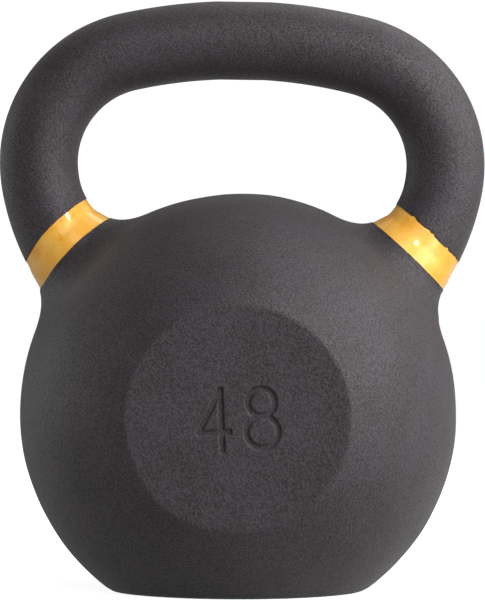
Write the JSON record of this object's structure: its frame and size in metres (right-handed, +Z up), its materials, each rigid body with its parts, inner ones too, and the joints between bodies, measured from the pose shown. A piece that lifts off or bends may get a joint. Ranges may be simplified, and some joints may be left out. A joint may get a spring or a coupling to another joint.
{
  "type": "kettlebell",
  "caption": "Solid cast-iron kettlebell with a ball-shaped bell, flat marked face, wide looped handle and a gold colour band on each horn.",
  "frame": {"origin": "centre of the ground base", "axes": "+Z up through the handle, -Y out of the marked face, +X to the right as the marked face is read"},
  "size_m": [0.2571, 0.2006, 0.3114],
  "materials": {
    "cast_iron": "bare iron, ground flat on the base",
    "black_powder_coat": "matte black powder coat with a fine sandy grain",
    "gold_paint": "satin metallic gold paint, slightly mottled"
  },
  "bodies": {
    "root": {"iron_casting": "cast_iron", "bell_powder_coat": "black_powder_coat", "handle_powder_coat": "black_powder_coat", "left_colour_band": "gold_paint", "right_colour_band": "gold_paint"}
  },
  "joints": []
}
